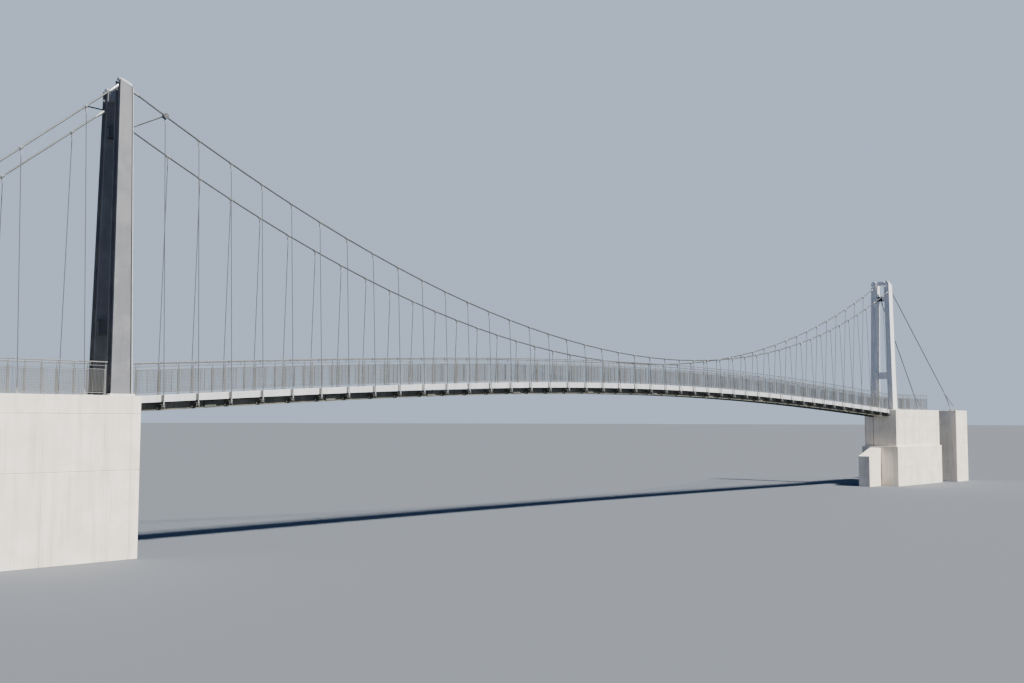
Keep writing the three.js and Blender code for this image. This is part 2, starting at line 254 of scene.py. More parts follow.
def finishPiece(node, bm, finish, replaced=(), smooth=False):
    # the piece's name is the node's name in camel case
    first, *others = node.split("_")
    name = first + "".join(word.capitalize() for word in others)
    bmesh.ops.transform(bm, matrix=toFrame, verts=bm.verts)
    bmesh.ops.recalc_face_normals(bm, faces=bm.faces)
    mesh = bpy.data.meshes.new(name)
    bm.to_mesh(mesh)
    bm.free()
    mesh.materials.append(finishes[finish])
    if smooth:
        mesh.shade_smooth()
        mesh.set_sharp_from_angle(angle=math.radians(38))
    piece = addObject(name, mesh)
    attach(piece, "root")
    if replaced:
        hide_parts(*replaced)


# Node groups for the effects that several finishes share


def newGroup(name, inputs, outputs):
    group = bpy.data.node_groups.new(name, "ShaderNodeTree")
    for socketName, default in inputs.items():
        socket = group.interface.new_socket(name=socketName, in_out="INPUT",
                                            socket_type="NodeSocketFloat")
        socket.default_value = default
    for socketName, kind in outputs.items():
        group.interface.new_socket(name=socketName, in_out="OUTPUT", socket_type="NodeSocket" + kind)
    return group, group.nodes.new("NodeGroupInput"), group.nodes.new("NodeGroupOutput")


def feedNode(tree, node, feeds):
    # links the node's inputs to other nodes' outputs, or sets numbers and colours on them
    for key, value in feeds.items():
        if isinstance(value, bpy.types.NodeSocket):
            tree.links.new(value, node.inputs[key])
        else:
            node.inputs[key].default_value = value


def addNode(tree, kind, feeds=None, **settings):
    node = tree.nodes.new(kind)
    for key, value in settings.items():
        setattr(node, key, value)
    feedNode(tree, node, feeds or {})
    return node


def mathNode(tree, operation, *values):
    return addNode(tree, "ShaderNodeMath", dict(enumerate(values)), operation=operation).outputs[0]


def remap(tree, value, low, high):
    feeds = {"Value": value, "From Min": low, "From Max": high}
    return addNode(tree, "ShaderNodeMapRange", feeds, clamp=True).outputs["Result"]


def objectPoint(tree, stretch=(1, 1, 1)):
    place = addNode(tree, "ShaderNodeTexCoord")
    feeds = {"Vector": place.outputs["Object"], "Scale": stretch}
    return addNode(tree, "ShaderNodeMapping", feeds).outputs["Vector"]


def noiseValue(tree, vector, scale, detail):
    feeds = {"Vector": vector, "Scale": scale, "Detail": detail, "Roughness": 0.6}
    return addNode(tree, "ShaderNodeTexNoise", feeds).outputs["Fac"]


def buildNoiseMask(name, defaults, detail, stretch=(1, 1, 1)):
    group, inside, outside = newGroup(name, defaults, {"Mask": "Float"})
    value = noiseValue(group, objectPoint(group, stretch), inside.outputs["Scale"], detail)
    feedNode(group, outside, {"Mask": remap(group, value, inside.outputs["Low"], inside.outputs["High"])})
    return group


def buildGrain():
    group, inside, outside = newGroup("fineGrain", {"Scale": 900.0, "Depth": 0.3},
                                      {"Mask": "Float", "Normal": "Vector"})
    value = noiseValue(group, objectPoint(group), inside.outputs["Scale"], 3.0)
    feeds = {"Distance": 0.0006, "Strength": inside.outputs["Depth"], "Height": value}
    bump = addNode(group, "ShaderNodeBump", feeds)
    feedNode(group, outside, {"Mask": value, "Normal": bump.outputs["Normal"]})
    return group


def buildSpangle():
    # the crystal pattern of hot-dip zinc
    group, inside, outside = newGroup("zincSpangle", {"Scale": 400.0}, {"Mask": "Float"})
    feeds = {"Vector": objectPoint(group), "Scale": inside.outputs["Scale"]}
    cells = addNode(group, "ShaderNodeTexVoronoi", feeds)
    tone = addNode(group, "ShaderNodeSeparateColor", {"Color": cells.outputs["Color"]})
    feedNode(group, outside, {"Mask": tone.outputs["Red"]})
    return group


def buildBoardMarks():
    # fine fins between the upright shuttering boards of a cast face, and a tone for each board
    group, inside, outside = newGroup("boardMarks", {"Width": 0.02}, {"Line": "Float", "Tone": "Float"})
    place = addNode(group, "ShaderNodeTexCoord")
    split = addNode(group, "ShaderNodeSeparateXYZ", {"Vector": place.outputs["Object"]})
    across = mathNode(group, "ADD", split.outputs["X"], split.outputs["Y"])
    counted = mathNode(group, "DIVIDE", across, inside.outputs["Width"])
    share = mathNode(group, "FRACT", counted)
    fromEdge = mathNode(group, "ABSOLUTE", mathNode(group, "SUBTRACT", share, 0.5))
    number = mathNode(group, "FLOOR", counted)
    board = addNode(group, "ShaderNodeTexWhiteNoise", {"W": number}, noise_dimensions="1D")
    feedNode(group, outside, {"Line": remap(group, fromEdge, 0.47, 0.5), "Tone": board.outputs["Value"]})
    return group


effects = {
    "blotches": buildNoiseMask("weatherBlotches", {"Scale": 8, "Low": 0.45, "High": 0.6}, 6),
    # long thin runs of rain down an upright face
    "streaks": buildNoiseMask("rainStreaks", {"Scale": 60, "Low": 0.5, "High": 0.72}, 3, (1, 1, 0.06)),
    "grit": buildNoiseMask("gritSpecks", {"Scale": 2200, "Low": 0.55, "High": 0.75}, 3),
    "grain": buildGrain(),
    "spangle": buildSpangle(),
    "boards": buildBoardMarks(),
}
print("effects ready")


def effect(tree, name, values):
    node = addNode(tree, "ShaderNodeGroup", node_tree=effects[name])
    for socket, value in zip(node.inputs, values):
        socket.default_value = value
    return node


def mixColours(tree, factor, first, second, strength=1.0):
    if strength != 1.0:
        factor = mathNode(tree, "MULTIPLY", factor, strength)
    node = addNode(tree, "ShaderNodeMix", {"Factor": factor}, data_type="RGBA")
    colourInputs = [key for key, socket in enumerate(node.inputs) if socket.type == "RGBA"]
    colours = [(*value, 1) if isinstance(value, tuple) else value for value in (first, second)]
    feedNode(tree, node, dict(zip(colourInputs, colours)))
    return [socket for socket in node.outputs if socket.type == "RGBA"][0]


def newFinish(name, metallic=0.0):
    material = bpy.data.materials.new(name)
    material.use_nodes = True
    shader = material.node_tree.nodes["Principled BSDF"]
    shader.inputs["Metallic"].default_value = metallic
    return material, material.node_tree, shader


def weatheredFinish(name, look):
    # each colour after the first is laid over the ones before it, by the next mask and its share
    material, tree, shader = newFinish(name, look["metallic"])
    grain = effect(tree, "grain", look["grain"])
    roughMask = grain.outputs["Mask"]
    colour = look["colours"][0]
    for (kind, output), layer, share in zip(look["masks"], look["colours"][1:], look["shares"]):
        mask = effect(tree, kind, look[kind]).outputs[output]
        colour = mixColours(tree, mask, colour, layer, share)
        if kind == "spangle":
            roughMask = mask
    rough, spread = look["roughness"], look["roughSpread"]
    if spread:
        rough = mathNode(tree, "MULTIPLY_ADD", roughMask, spread, rough - spread / 2)
    feedNode(tree, shader, {"Base Color": colour, "Roughness": rough, "Normal": grain.outputs["Normal"]})
    return material


# A list beside an effect's name gives its scale or width first, then its other settings.

paint = {                  # its colours: the paint, the faded blotches, the dirt in the rain streaks
    "metallic": 0.1, "masks": (("blotches", "Mask"), ("streaks", "Mask")),
    "shares": (1, 0.5), "blotches": [14], "streaks": [80], "grain": [600, 0.2], "roughSpread": 0.2,
}
towerPaint = {**paint, "blotches": [11], "streaks": [70], "grain": [700, 0.15]}
zinc = {                   # its colours: the darkest and the lightest crystals, the dull blotches
    "metallic": 0.3, "masks": (("spangle", "Mask"), ("blotches", "Mask")), "shares": (1, 0.4),
    "spangle": [700], "blotches": [14], "grain": [900, 0.1], "roughSpread": 0.15,
}
looks = {
    "leftTowerPaint": {
        **towerPaint, "colours": ((0.17, 0.175, 0.19), (0.21, 0.215, 0.225), (0.1, 0.1, 0.1)),
        "shares": (1, 0.25), "roughness": 0.5},
    "rightTowerPaint": {
        **towerPaint, "colours": ((0.82, 0.83, 0.85), (0.88, 0.88, 0.89), (0.5, 0.5, 0.49)),
        "shares": (1, 0.2), "roughness": 0.45, "metallic": 0.05},
    "lightSteel": {
        **paint, "colours": ((0.6, 0.615, 0.635), (0.69, 0.7, 0.71), (0.35, 0.35, 0.34)),
        "shares": (1, 0.3), "roughness": 0.4, "blotches": [16], "streaks": [90], "grain": [800, 0.1]},
    "girderSteel": {
        **paint, "colours": ((0.1, 0.105, 0.09), (0.16, 0.155, 0.13), (0.05, 0.05, 0.04)),
        "roughness": 0.65, "grain": [600, 0.3]},
    # painted shade: near-black paint for the beams between the legs, standing in for the shade they lie in
    "paintedBeamShade": {
        **paint, "colours": ((0.028, 0.031, 0.034), (0.045, 0.047, 0.05), (0.015, 0.015, 0.015)),
        "shares": (1, 0.4), "roughness": 0.6, "metallic": 0},
    # painted shade: near-black for the grooves on the legs and the open joint in the pier, standing in for
    # the shade inside them
    "seamFiller": {
        **paint, "colours": ((0.022, 0.024, 0.027), (0.04, 0.04, 0.042), (0.012, 0.012, 0.012)),
        "roughness": 0.7, "metallic": 0},
    "meshWire": {
        **zinc, "colours": ((0.13, 0.135, 0.13), (0.19, 0.195, 0.19), (0.11, 0.11, 0.1)),
        "roughness": 0.55, "metallic": 0.2},
    "galvanised": {
        **zinc, "colours": ((0.18, 0.19, 0.19), (0.26, 0.265, 0.265), (0.16, 0.16, 0.155)),
        "roughness": 0.42, "metallic": 0.4, "spangle": [500]},
    "cableSteel": {
        **zinc, "colours": ((0.09, 0.094, 0.095), (0.14, 0.144, 0.145), (0.08, 0.078, 0.07)),
        "roughness": 0.5, "spangle": [900], "blotches": [10], "grain": [1400, 0.3]},
    "hangerSteel": {
        **zinc, "colours": ((0.1, 0.105, 0.11), (0.15, 0.155, 0.16), (0.09, 0.09, 0.09)),
        "shares": (1, 0.3), "roughness": 0.4, "spangle": [900], "grain": [1400, 0.1]},
    "brightFittings": {
        **zinc, "colours": ((0.36, 0.37, 0.38), (0.46, 0.47, 0.48), (0.3, 0.3, 0.29)),
        "shares": (1, 0.3), "roughness": 0.35, "metallic": 0.4, "blotches": [20], "grain": [1200, 0.1]},
    "concrete": {          # warm and pale patches, pale boards, stained fins and rain stains
        "colours": ((0.78, 0.7, 0.59), *[(0.9, 0.84, 0.74)] * 2, *[(0.4, 0.35, 0.29)] * 2),
        "masks": (("blotches", "Mask"), ("boards", "Tone"), ("boards", "Line"), ("streaks", "Mask")),
        "shares": (1, 0.4, 0.35, 0.35), "blotches": [9, 0.4, 0.62], "boards": [0.021], "streaks": [45],
        "grain": [500, 0.5], "metallic": 0, "roughness": 0.85, "roughSpread": 0.2},
    "deckSurface": {       # dark and light patches with pale grit
        "colours": ((0.27, 0.255, 0.23), (0.36, 0.345, 0.32), (0.5, 0.49, 0.46)),
        "masks": (("blotches", "Mask"), ("grit", "Mask")), "shares": (1, 0.5),
        "blotches": [22], "grit": [2200], "grain": [2200, 0.8], "metallic": 0, "roughness": 0.85,
        "roughSpread": 0},
}
finishes = {name: weatheredFinish(name, look) for name, look in looks.items()}
print("finishes ready")

# Concrete

concreteLook = {
    "chamfer": 0.01,
    "joint": 0.014,        # width of the grooves between pours
    "jointDepth": 0.02,
    "openJoint": 0.05,     # width of the painted shade strip in the pier's upright joint
    "cuts": {              # where the grooves lie along X, Y and Z
        "left_abutment": ([-2.9, -0.76, 0.21], [], [-2.6, -0.64]),
        "right_pier": ([span + 2.4], [0.57], [-1.59, -0.6]),
        "right_footing": ([], [], [-4.3]),
        "left_anchor_block": ([], [], [-2.6]),
        "right_anchor_block": ([], [], [-2.6]),
    },
}


def poured(bm, low, high, cuts):
    # one block for each pour, with the grooves between them
    half = concreteLook["joint"] / 2
    pours = [zip([start, *stops], [*stops, end]) for start, end, stops in zip(low, high, cuts)]
    for cell in product(*pours):
        corner = [a if a == edge else a + half for (a, _), edge in zip(cell, low)]
        opposite = [b if b == edge else b - half for (_, b), edge in zip(cell, high)]
        block(bm, corner, opposite, concreteLook["chamfer"])
    inset = Vector((1, 1, 1)) * concreteLook["jointDepth"]
    block(bm, low + inset, high - inset)


def buildConcrete():
    look = concreteLook
    for node, cuts in look["cuts"].items():
        bm = bmesh.new()
        poured(bm, *nodeBox(node), cuts)
        finishPiece(node, bm, "concrete", [node])
    # painted shade in the open joint in the pier's face toward the span: a near-black strip inside it
    low = nodeBox("right_pier")[0]
    _, (y,), (_, top) = look["cuts"]["right_pier"]
    half = look["openJoint"] / 2
    bm = bmesh.new()
    block(bm, (low.x + 0.001, y - half, low.z + 0.02), (low.x + look["jointDepth"] + 0.01, y + half, top))
    finishPiece("pierJointFiller", bm, "seamFiller")
    print("concrete ready")


buildConcrete()

# Deck

deckLook = {
    "plankWidth": 0.19,
    "plankGap": 0.008,
    "plankThickness": 0.045,
    "plankReach": 0.745,
    "plankPlay": 0.002,    # a plank lies up to this much lower than the walkway
    "stringerYs": [-0.66, -0.3, 0.3, 0.66],
    "stringerWidth": 0.06,
    "stringerDepth": 0.22,
    "fasciaOuter": 0.8,
    "fasciaInner": 0.755,
    "fasciaDepth": 0.26,
    "fasciaJoint": 0.07,   # the gaps between the plates end this far right of the hangers
    "fasciaGap": 0.1,
    "boltFromEnd": 0.07,
    "boltFromEdge": 0.06,
    "spliceHalf": 0.09,
}
deckStops = [deckLow.x, *hangerXs, deckHigh.x]


def buildPlanks():
    look = deckLook
    reach, thick = look["plankReach"], look["plankThickness"]
    count = int((deckHigh.x - deckLow.x) / (look["plankWidth"] + look["plankGap"]))
    pitch = (deckHigh.x - deckLow.x) / count
    chance = random.Random(7)
    bm = bmesh.new()
    for i in range(count):
        start = deckLow.x + i * pitch
        sink = chance.uniform(0, look["plankPlay"])
        xs = (start, start + pitch - look["plankGap"])
        slopedBlock(bm, xs, (-reach, reach), (-thick, -sink), soft=0.004)
    finishPiece("deckPlanks", bm, "deckSurface", ["deck_slab"])
    bm = bmesh.new()
    half = look["stringerWidth"] / 2
    for x0, x1 in pairwise(deckStops):
        for y in look["stringerYs"]:
            slopedBlock(bm, (x0, x1), around(y, half), (-thick - look["stringerDepth"], -thick - 0.001))
    finishPiece("deckStringers", bm, "girderSteel")


def buildFascia(sideName):
    look, side = deckLook, sideSigns[sideName]
    gap, depth, outer = look["fasciaGap"], look["fasciaDepth"], look["fasciaOuter"]
    joints = [deckLow.x, *[x + look["fasciaJoint"] for x in sideHangers[sideName]], deckHigh.x]
    ys = sideBand(side, look["fasciaInner"], outer)
    bm = bmesh.new()
    for x0, x1 in pairwise(joints):
        slopedBlock(bm, (x0, x1 - gap), ys, (-depth, 0), soft=0.006)
        for x in (x0 + look["boltFromEnd"], x1 - gap - look["boltFromEnd"]):
            for z in (-look["boltFromEdge"], look["boltFromEdge"] - depth):
                hexBolt(bm, (x, side * outer, crown(x) + z), (0, side, 0), "fascia")
    node = "deck_fascia_" + sideName
    finishPiece(node, bm, "lightSteel", [node])
    # splice plates behind the gaps between the fascia plates, in the dark girder paint: partly real plates,
    # partly painted shade in the gaps
    ys = sideBand(side, look["plankReach"] + 0.001, look["fasciaInner"] - 0.001)
    bm = bmesh.new()
    for x in joints[1:-1]:
        middle, half = x - gap / 2, look["spliceHalf"]
        slopedBlock(bm, around(middle, half), ys, (-depth + 0.01, -0.01))
    finishPiece("fasciaSplices_" + sideName, bm, "girderSteel")


buildPlanks()
for sideName in sideSigns:
    buildFascia(sideName)
print("deck ready")

# Frame under the deck

frameLook = {
    "girderYs": (0.5, 0.6),
    "girderLow": -0.57,
    "girderHigh": -0.28,
    "flangeDepth": 0.018,
    "webWidth": 0.014,
    "stiffenerX": 0.055,   # the girders' stiffeners stand this far from a hanger line
    "stiffenerWidth": 0.01,
    "beamWidth": 0.1,
    "beamInset": 0.05,     # the cross-beams are this much shallower than the girders, top and bottom
    "pinReach": 1.0,
    "pinHalfDepth": 0.06,
    "pinHeight": -0.43,
    "flangeReach": 0.88,
    "hangerReach": 0.95,
    "lugWidth": 0.02,
    "capHalf": 0.08,
    "plateHalf": 0.09,
    "plateThickness": 0.012,
    "plateBoltX": 0.07,
    "spliceEvery": 4,
    "spliceHalf": 0.24,
    "spliceBolts": (-0.2, -0.12, -0.04, 0.04, 0.12, 0.2),
}


def sectionPlate(bm, points, xs):
    # a plate with the given outline in Y and Z between two places along the bridge
    extruded(bm, [(xs[0], y, z) for y, z in points], (xs[1] - xs[0], 0, 0))


def outriggerEdge(y, edge):
    # height of the cross-beam's upper or lower edge, which closes in beyond the girders
    look = frameLook
    face, inset = look["girderYs"][1], look["beamInset"]
    girderEdge = look["girderHigh"] - inset if edge > 0 else look["girderLow"] + inset
    pinEdge = look["pinHeight"] + edge * look["pinHalfDepth"]
    share = max(0, (abs(y) - face) / (look["pinReach"] - face))
    return girderEdge + (pinEdge - girderEdge) * share


def crossBeam(bm, x, ys):
    # a web with flanges along the given distances from the centre line
    look = frameLook
    z, webHalf, beamHalf = crown(x), look["webWidth"] / 2, look["beamWidth"] / 2
    foot = [(y, z + outriggerEdge(y, -1)) for y in ys]
    head = [(y, z + outriggerEdge(y, 1)) for y in reversed(ys)]
    sectionPlate(bm, foot + head, around(x, webHalf))
    stops = [max(-look["flangeReach"], min(look["flangeReach"], y)) for y in ys]
    for edge in (-1, 1):
        inward = -edge * look["flangeDepth"]
        for y0, y1 in pairwise(stops):
            z0, z1 = z + outriggerEdge(y0, edge), z + outriggerEdge(y1, edge)
            flange = [(y0, z0), (y1, z1), (y1, z1 + inward), (y0, z0 + inward)]
            sectionPlate(bm, flange, around(x, beamHalf))


def girder(bm, sideName):
    look = frameLook
    ys = sideBand(sideSigns[sideName], *look["girderYs"])
    low, high, flange = look["girderLow"], look["girderHigh"], look["flangeDepth"]
    middle, webHalf, half = sum(ys) / 2, look["webWidth"] / 2, look["stiffenerWidth"] / 2
    for x0, x1 in pairwise(deckStops):
        slopedBlock(bm, (x0, x1), ys, (low, low + flange))
        slopedBlock(bm, (x0, x1), ys, (high - flange, high))
        slopedBlock(bm, (x0, x1), around(middle, webHalf), (low + flange, high - flange))
    for hangerX in sideHangers[sideName]:
        for x in around(hangerX, look["stiffenerX"]):
            slopedBlock(bm, around(x, half), (ys[0] + 0.006, ys[1] - 0.006), (low + flange, high - flange))


def outriggerFittings(bm, x, side):
    # the lug that holds the hanger, the plates that cap the flanges, and the bolted plate at the girder
    look = frameLook
    pin = crown(x) + look["pinHeight"]
    half, beamHalf, capHalf = look["lugWidth"] / 2, look["beamWidth"] / 2, look["capHalf"]
    thick, reach, face = look["plateThickness"], look["flangeReach"], look["girderYs"][1]
    lugHalf = look["pinHalfDepth"] + thick
    ys = sideBand(side, reach - 0.02, look["pinReach"] + 0.01)
    block(bm, (x - half, ys[0], pin - lugHalf), (x + half, ys[1], pin + lugHalf), 0.004)
    ys = sideBand(side, reach - thick / 2, reach + thick / 2)
    for x0, x1 in ((x - beamHalf, x - half), (x + half, x + beamHalf)):
        block(bm, (x0, ys[0], pin - capHalf), (x1, ys[1], pin + capHalf), 0.003)
    ys = sideBand(side, face, face + thick)
    low, high = crown(x) + look["girderLow"], crown(x) + look["girderHigh"]
    block(bm, (x - look["plateHalf"], ys[0], low + 0.02), (x + look["plateHalf"], ys[1], high - 0.02), 0.004)
    for boltX in around(x, look["plateBoltX"]):
        for z in (low + 0.06, high - 0.06):
            hexBolt(bm, (boltX, side * (face + thick), z), (0, side, 0), "girder")


def girderSplice(bm, middle, side):
    look = frameLook
    face, thick, half = look["girderYs"][1], look["plateThickness"], look["spliceHalf"]
    low, high = look["girderLow"] + 0.03, look["girderHigh"] - 0.03
    ys = sideBand(side, face, face + thick)
    slopedBlock(bm, around(middle, half), ys, (low, high), soft=0.003)
    for x in [middle + dx for dx in look["spliceBolts"]]:
        for z in (low + 0.05, high - 0.05):
            hexBolt(bm, (x, side * (face + thick), crown(x) + z), (0, side, 0), "girder")


def buildDeckFrame():
    frameMesh, fittings = bmesh.new(), bmesh.new()
    reach, face = frameLook["pinReach"], frameLook["girderYs"][1]
    middle = sum(frameLook["girderYs"]) / 2
    beamYs = {"near": [-reach, -face, middle], "far": [middle, face, reach]}
    for sideName, side in sideSigns.items():
        girder(frameMesh, sideName)
        for number, x in enumerate(sideHangers[sideName]):
            crossBeam(frameMesh, x, beamYs[sideName])
            outriggerFittings(fittings, x, side)
            if number % frameLook["spliceEvery"] == 1:
                girderSplice(fittings, x + bay / 2, side)
    finishPiece("deckFrame", frameMesh, "girderSteel", ["deck_frame"])
    finishPiece("frameFittings", fittings, "girderSteel")
    print("deck frame ready")


buildDeckFrame()

# Railings

railingLook = {
    "plane": 0.7,
    "handrailRadius": 0.0225,
    "handrailTop": 1.2,
    "postTopRail": (1.045, 1.062),
    "panelTop": (0.915, 0.935),
    "panelFoot": (0.09, 0.11),
    "barHalf": 0.016,
    "postWidth": 0.045,
    "postDepth": 0.028,
    "stileWidth": 0.02,
    "panelGap": 0.01,      # from a post to the frame of the mesh panel beside it
    "innerStile": 0.2,     # from a hanger line to the upright in the panel
    "innerWidth": 0.014,
    "wireRadius": 0.0035,
    "wireSpacing": 0.052,
    "stubRadius": 0.011,
    "footHalf": (0.07, 0.045),
    "footThickness": 0.014,
    "footBoltX": 0.05,
}


def meshPanel(bm, wires, x0, x1, y, line, hangersHere):
    # a frame of flat bars filled with crossed wires
    look = railingLook
    stile, half, r = look["stileWidth"], look["innerWidth"] / 2, look["wireRadius"]
    ys = around(y, look["barHalf"] / 2)
    low, high = look["panelFoot"][1], look["panelTop"][0]
    for zs in (look["panelFoot"], look["panelTop"]):
        slopedBlock(bm, (x0, x1), ys, zs, line)
    for start in (x0, x1 - stile):
        slopedBlock(bm, (start, start + stile), ys, (low, high), line)
    for x in hangersHere:
        for middle in around(x, look["innerStile"]):
            slopedBlock(bm, around(middle, half), ys, (low, high), line)
    left, right = x0 + stile, x1 - stile
    columns = max(2, round((right - left) / look["wireSpacing"]))
    for i in range(1, columns):
        x = left + (right - left) * i / columns
        slopedBlock(wires, around(x, r), (y - 2 * r, y), (low, high), line)
    rows = round((high - low) / look["wireSpacing"])
    for i in range(1, rows):
        z = low + (high - low) * i / rows
        slopedBlock(wires, (left, right), (y, y + 2 * r), around(z, r), line)


def railingPost(bm, x, y, foot):
    look = railingLook
    width, depth, thick = look["postWidth"] / 2, look["postDepth"] / 2, look["footThickness"]
    halfX, halfY = look["footHalf"]
    top = foot + look["postTopRail"][0]
    block(bm, (x - width, y - depth, foot + 0.004), (x + width, y + depth, top), 0.004)
    block(bm, (x - halfX, y - halfY, foot), (x + halfX, y + halfY, foot + thick), 0.003)
    for boltX in around(x, look["footBoltX"]):
        hexBolt(bm, (boltX, y, foot + thick), (0, 0, 1), "post")


def buildRailing(node, posts, breaks, ends, line, side):
    look = railingLook
    radius, half, y = look["handrailRadius"], look["barHalf"], side * look["plane"]
    handrail = look["handrailTop"] - radius
    bars, panels, wires = bmesh.new(), bmesh.new(), bmesh.new()
    steps = [ends[0], *[x for x in breaks if ends[0] < x < ends[1]], ends[1]]
    path = [(x, y, line(x) + handrail) for x in steps]
    bars.from_mesh(tubeMesh(path, tubeProfile(radius, 5)))
    for end in (path[0], path[-1]):
        bmesh.ops.create_uvsphere(bars, u_segments=10, v_segments=6, radius=radius * 1.12,
                                  matrix=Matrix.Translation(end))
    for x0, x1 in pairwise(steps):
        slopedBlock(bars, (x0, x1), around(y, half), look["postTopRail"], line)
    for x in posts:
        railingPost(bars, x, y, line(x))
    for x in [*posts, *[(a + b) / 2 for a, b in pairwise(posts)]]:
        rod(bars, (x, y, line(x) + look["postTopRail"][0]), (x, y, line(x) + handrail), look["stubRadius"])
    inset = look["postWidth"] / 2 + look["panelGap"]
    for x0, x1 in pairwise(posts):
        hangersHere = [x for x in breaks if x0 + 0.3 < x < x1 - 0.3]
        meshPanel(panels, wires, x0 + inset, x1 - inset, y, line, hangersHere)
    finishPiece(node, bars, "galvanised", [node], smooth=True)
    finishPiece(node + "_panels", panels, "galvanised")
    finishPiece(node + "_wires", wires, "meshWire")


approachLook = {           # the length of a bay, then the first post and the number of bays
    "bay": 1.12,
    "left": (-5.0, 4),
    "right": (span + 0.5, 5),
}


def buildRailings():
    for sideName, side in sideSigns.items():
        posts = [deckLow.x + 0.05, *[x + bay / 2 for x in hangerXs[:-1]], deckHigh.x - 0.05]
        ends = (deckLow.x + 0.02, deckHigh.x - 0.02)
        buildRailing("span_railing_" + sideName, posts, hangerXs, ends, crown, side)
        for part in towers:
            start, count = approachLook[part]
            posts = [start + i * approachLook["bay"] for i in range(count + 1)]
            ends = (posts[0] - 0.05, posts[-1] + 0.05)
            buildRailing(f"{part}_approach_railing_{sideName}", posts, [], ends, level, side)
    print("railings ready")


buildRailings()

# Cables, clamps and hangers

cableLook = {
    "radius": 0.035,
    "steps": 1220,
    "strands": 9,
    "hollow": 0.94,        # the grooves between the strands lie at this share of the radius
    "layLength": 0.7,
    "headLevel": 11.3,
    "headReach": 0.5,
    "planeSlope": 0.038,
    "near": {"left": 11.14, "middle": 2.67, "right": 8.95, "leftStay": 11.2, "rightStay": 9.25},
    "far": {"left": 10.23, "middle": 2.42, "right": 9.25, "leftStay": 10.45, "rightStay": 9.25},
    "hangerRadius": 0.016,
    "socketRadius": 0.07,
    "sleeveLength": 0.32,
    "tiePlateY": 0.0825,
    "tieWireRise": 0.62,
}
clampLook = {              # all measured from the middle of the cable
    "length": 0.075, "width": 0.044, "height": 0.05, "split": 0.004, "lip": (0.04, 0.07), "lipHeight": 0.018,
    "boltX": 0.048, "boltY": 0.058, "boltHalf": 0.042, "nutZ": 0.027,
    "lugLow": (-0.024, -0.009, -0.12), "lugHigh": (0.024, 0.009, -0.05), "pinDrop": 0.1,
}
forkLook = {
    "cheek": (0.011, 0.026), "pinHalf": 0.038, "pinRadius": 0.012, "nutY": 0.034, "nutRadius": 0.02,
    "outline": ((-0.036, 0.0), (-0.024, 0.026), (0.024, 0.026), (0.036, 0.0), (0.02, -0.1), (-0.02, -0.1)),
    "rodStart": 0.18,      # from the pin to the end of the rod in the socket
}


def cableSpan(sideName):
    heights = cableLook[sideName]
    return legWeb("left", heights["left"]) + 0.024, span - legWeb("right", heights["right"]) - 0.024


def cablePoint(sideName, x):
    heights = cableLook[sideName]
    start, end = cableSpan(sideName)
    u = (x - start) / (end - start)
    sag = (heights["left"] + heights["right"]) / 2 - heights["middle"]
    z = heights["left"] * (1 - u) + heights["right"] * u - 4 * sag * u * (1 - u)
    reach = cableLook["headReach"] + (cableLook["headLevel"] - z) * cableLook["planeSlope"]
    return Vector((x, sideSigns[sideName] * reach, z))


def cableDirection(sideName, x):
    return (cablePoint(sideName, x + 0.05) - cablePoint(sideName, x - 0.05)).normalized()


def strandedCable(bm, points, radius):
    profile = tubeProfile(radius, cableLook["strands"], cableLook["hollow"])
    bm.from_mesh(tubeMesh(points, profile, 2 * math.pi / cableLook["layLength"]))


def clampShells(bm):
    # two half shells round the cable, which runs along X here, bolted above and below it
    look = clampLook
    length, width, height, split = look["length"], look["width"], look["height"], look["split"]
    for z0, z1 in ((split, height), (-height, -split)):
        block(bm, (-length, -width, z0), (length, width, z1), 0.014)
    for x in around(0, look["boltX"]):
        for y in around(0, look["boltY"]):
            rod(bm, (x, y, -look["boltHalf"]), (x, y, look["boltHalf"]), 0.007, 6)
            for z in around(0, look["nutZ"]):
                rod(bm, (x, y, z - 0.006), (x, y, z + 0.006), 0.012, 6)
    for side in (-1, 1):
        y0, y1 = sideBand(side, *look["lip"])
        for z0, z1 in ((-look["lipHeight"], -split), (split, look["lipHeight"])):
            block(bm, (-length, y0, z0), (length, y1, z1), 0.003)


def hangerFork(bm):
    # two cheeks on a pin at the origin and the socket that holds the rod, hanging down
    look = forkLook
    for side in (-1, 1):
        y0, y1 = sideBand(side, *look["cheek"])
        extruded(bm, [(x, y0, z) for x, z in look["outline"]], (0, y1 - y0, 0))
    disc(bm, Vector(), look["pinHalf"], look["pinRadius"], 8)
    for y in around(0, look["nutY"]):
        disc(bm, Vector((0, y, 0)), 0.006, look["nutRadius"], 6)
    rod(bm, (0, 0, -0.085), (0, 0, -0.125), 0.028, 10)
    rod(bm, (0, 0, -0.125), (0, 0, -0.2), 0.023, 10, 0.014)


def alongAxis(point, direction):
    # puts a template's X axis along a direction, its Z axis as upright as that allows
    across = Vector((0, 0, 1)).cross(direction).normalized()
    upward = direction.cross(across)
    turn = Matrix((direction, across, upward)).transposed().to_4x4()
    return Matrix.Translation(point) @ turn


def hangTo(top, foot, pinAlong="Y"):
    # hangs a template from a point, its Z axis on the line to the foot
    upward = (top - foot).normalized()
    across = upward.cross(Vector((1, 0, 0))).normalized()
    turn = Matrix((across.cross(upward), across, upward)).transposed().to_4x4()
    if pinAlong == "X":
        turn = turn @ Matrix.Rotation(math.pi / 2, 4, "Z")
    return Matrix.Translation(top) @ turn


shells = template(clampShells)
fork = template(hangerFork)


def clampAndFork(bm, point, direction, foot):
    # a clamp on a cable, its lug and the fork of the hanger below it; gives back the fork's pin
    stamp(bm, shells, alongAxis(point, direction))
    blockAt(bm, point, clampLook["lugLow"], clampLook["lugHigh"], 0.003)
    pin = point - Vector((0, 0, clampLook["pinDrop"]))
    stamp(bm, fork, hangTo(pin, foot))
    return pin


